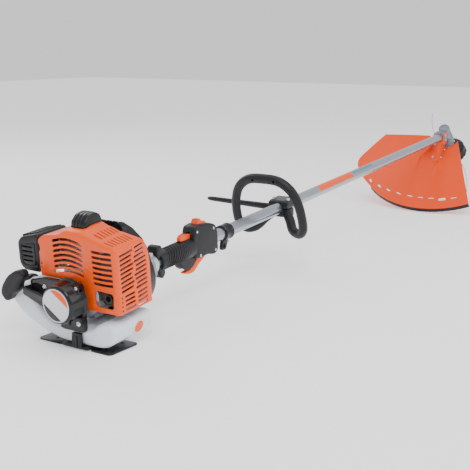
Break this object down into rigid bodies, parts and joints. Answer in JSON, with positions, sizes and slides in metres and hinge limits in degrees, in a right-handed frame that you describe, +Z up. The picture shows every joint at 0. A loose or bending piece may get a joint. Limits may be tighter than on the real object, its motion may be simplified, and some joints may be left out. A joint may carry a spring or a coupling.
{
  "type": "brush cutter",
  "caption": "Petrol brush cutter with a straight shaft: shrouded two-stroke engine on a stand, trigger grip, loop handle, wide rear guard and a line trimming head.",
  "frame": {"origin": "centre of the overall box at its base: the ground plane under the middle of the machine, which stands on the engine stand and the rear of the guard skirt", "axes": "+X runs along the machine from the starter at the rear to the cutting head at the front, +Y to its left, +Z up"},
  "size_m": [2.0958, 0.4542, 0.2923],
  "materials": {
    "black_plastic": "moulded black plastic with a soft gloss",
    "silver_plastic": "plain silver disc",
    "black_rubber": "soft moulded rubber",
    "black_cord": "braided cord and cable sleeve",
    "steel": "machined steel",
    "cast_alloy": "as-cast light alloy",
    "dark_steel": "dark heat-stained steel",
    "clear_rubber": "clear soft bulb",
    "foam": "oiled filter foam",
    "orange_plastic": "glossy orange plastic",
    "milky_plastic": "translucent milky blow-moulded plastic",
    "black_metal": "black painted steel",
    "tube_alloy": "drawn alloy tube",
    "brass": "sintered bushing",
    "grip_plastic": "fine textured black plastic",
    "cast_black": "black painted casting",
    "head_alloy": "grey painted casting",
    "guard_orange": "orange-red injection moulding",
    "skirt_rubber": "black rubber strip",
    "nylon": "nylon line"
  },
  "bodies": {
    "body": {"starter_housing": "black_plastic", "starter_emblem": "silver_plastic", "rewind_spring": "steel", "crankcase": "cast_alloy", "connecting_rod": "steel", "piston": "cast_alloy", "cylinder": "cast_alloy", "spark_plug": "steel", "spark_plug_cap": "black_rubber", "muffler": "dark_steel", "intake_spacer": "black_plastic", "carburetor": "cast_alloy", "air_filter_base": "black_plastic", "air_filter_element": "foam", "air_filter_cover": "black_plastic", "engine_cover": "orange_plastic", "fan_housing": "black_plastic", "ignition_coil": "dark_steel", "clutch_bearing": "steel", "clutch_housing": "cast_alloy", "fuel_tank": "milky_plastic", "engine_stand": "black_metal", "shaft_tube": "tube_alloy", "shaft_bushing": "brass", "control_handle": "grip_plastic", "throttle_cable": "black_cord", "harness_clamp": "black_metal", "loop_handle": "black_rubber", "loop_clamp": "cast_black", "loop_bolt_1": "steel", "loop_bolt_2": "steel", "barrier_bar": "black_plastic", "gear_case": "head_alloy", "output_bearing": "steel", "guard_bracket": "guard_orange", "guard": "guard_orange", "guard_skirt": "skirt_rubber", "line_cutter": "steel"},
    "pull": {"starter_grip": "black_rubber", "starter_rope": "black_cord"},
    "pulley": {"starter_pulley": "black_plastic"},
    "crank": {"crankshaft": "steel", "flywheel_fan": "cast_alloy", "clutch_shoe_1": "dark_steel", "clutch_shoe_2": "dark_steel"},
    "drive": {"clutch_drum": "dark_steel", "drive_shaft": "steel", "pinion_gear": "steel"},
    "output": {"driven_gear": "steel", "output_shaft": "steel", "trimmer_head": "black_plastic", "line_spool": "black_plastic", "trimmer_line": "nylon"},
    "bump": {"bump_knob": "black_plastic"},
    "trigger": {"throttle_trigger": "orange_plastic"},
    "lockout": {"throttle_lockout": "orange_plastic"},
    "stop": {"stop_switch": "orange_plastic"},
    "choke": {"choke_lever": "black_plastic"},
    "primer": {"primer_bulb": "clear_rubber"},
    "cap": {"fuel_cap": "black_plastic"}
  },
  "joints": [
    {"name": "starter_pull", "type": "slide", "parent": "body", "child": "pull", "axis": [-0.0232, 0.9537, 0.2998], "range_m": [0, 0.6], "stiffness_N_per_m": 8, "springref_m": -0.9},
    {"name": "pulley_spin", "type": "hinge", "parent": "body", "child": "pulley", "pos_m": [-1.01907, -0.07101, 0.09213], "axis": [0.997, 0, 0.077], "range_deg": [0, 1440]},
    {"name": "crank_spin", "type": "hinge", "parent": "body", "child": "crank", "pos_m": [-0.94828, -0.07101, 0.0976], "axis": [0.997, 0, 0.077], "continuous": true},
    {"name": "drive_spin", "type": "hinge", "parent": "body", "child": "drive", "pos_m": [-0.15065, -0.07101, 0.15921], "axis": [0.997, 0, 0.077], "continuous": true},
    {"name": "output_spin", "type": "hinge", "parent": "body", "child": "output", "pos_m": [0.84079, -0.07101, 0.2358], "axis": [-0.5681, 0, 0.823], "continuous": true},
    {"name": "bump_press", "type": "slide", "parent": "output", "child": "bump", "axis": [-0.5681, 0, 0.823], "range_m": [0, 0.005], "stiffness_N_per_m": 1500, "springref_m": -0.006},
    {"name": "trigger_squeeze", "type": "hinge", "parent": "body", "child": "trigger", "pos_m": [-0.60176, -0.07101, 0.10431], "axis": [0, 1, 0], "range_deg": [0, 14], "stiffness_Nm_per_rad": 0.6, "springref_deg": -28.65},
    {"name": "lockout_press", "type": "hinge", "parent": "body", "child": "lockout", "pos_m": [-0.63188, -0.07101, 0.14361], "axis": [0, -1, 0], "range_deg": [0, 7], "stiffness_Nm_per_rad": 0.5, "springref_deg": -22.92},
    {"name": "stop_slide", "type": "slide", "parent": "body", "child": "stop", "axis": [0.997, 0, 0.077], "range_m": [0, 0.008]},
    {"name": "choke_turn", "type": "hinge", "parent": "body", "child": "choke", "pos_m": [-0.91279, 0.01649, 0.17055], "axis": [0.997, 0, 0.077], "range_deg": [0, 60]},
    {"name": "primer_press", "type": "slide", "parent": "body", "child": "primer", "axis": [-0.077, 0, 0.997], "range_m": [0, 0.0035], "stiffness_N_per_m": 400, "springref_m": -0.002},
    {"name": "cap_turn", "type": "hinge", "parent": "body", "child": "cap", "pos_m": [-0.94321, 0.09399, 0.08395], "axis": [0, -1, 0], "range_deg": [0, 540]}
  ],
  "couplings": [
    {"joint": "pulley_spin", "follows": "starter_pull", "rad_per_m": 41.667},
    {"joint": "drive_spin", "follows": "output_spin", "ratio": 1.3333}
  ]
}
